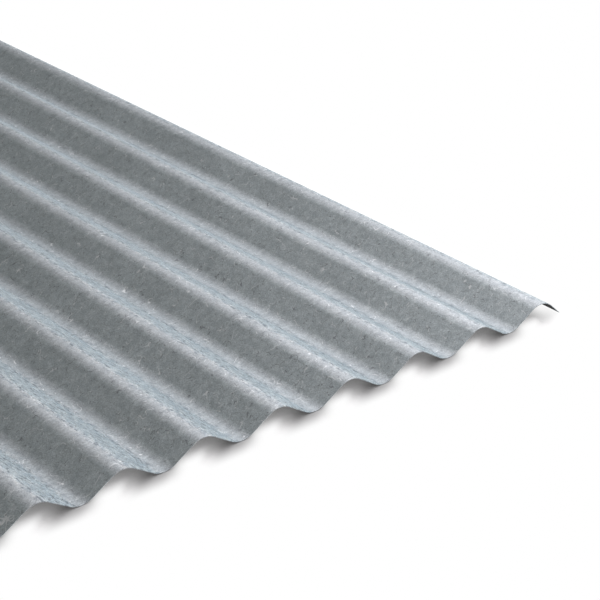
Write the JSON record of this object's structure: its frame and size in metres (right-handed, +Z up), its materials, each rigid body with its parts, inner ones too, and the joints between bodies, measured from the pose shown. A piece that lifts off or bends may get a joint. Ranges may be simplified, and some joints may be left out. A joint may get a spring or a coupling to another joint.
{
  "type": "corrugated metal sheet",
  "caption": "Long galvanised steel roofing and walling sheet, rolled into round corrugations, with both side edges turned down.",
  "frame": {"origin": "middle of the sheet in plan, level with the undersides of the troughs it rests on", "axes": "+Y along the corrugations, +X across them, +Z up, out of the side whose edges are turned away from it"},
  "size_m": [0.6628, 2.438, 0.0175],
  "materials": {
    "galvanised_steel": "satin"
  },
  "bodies": {
    "root": {"corrugated_sheet": "galvanised_steel"}
  },
  "joints": []
}
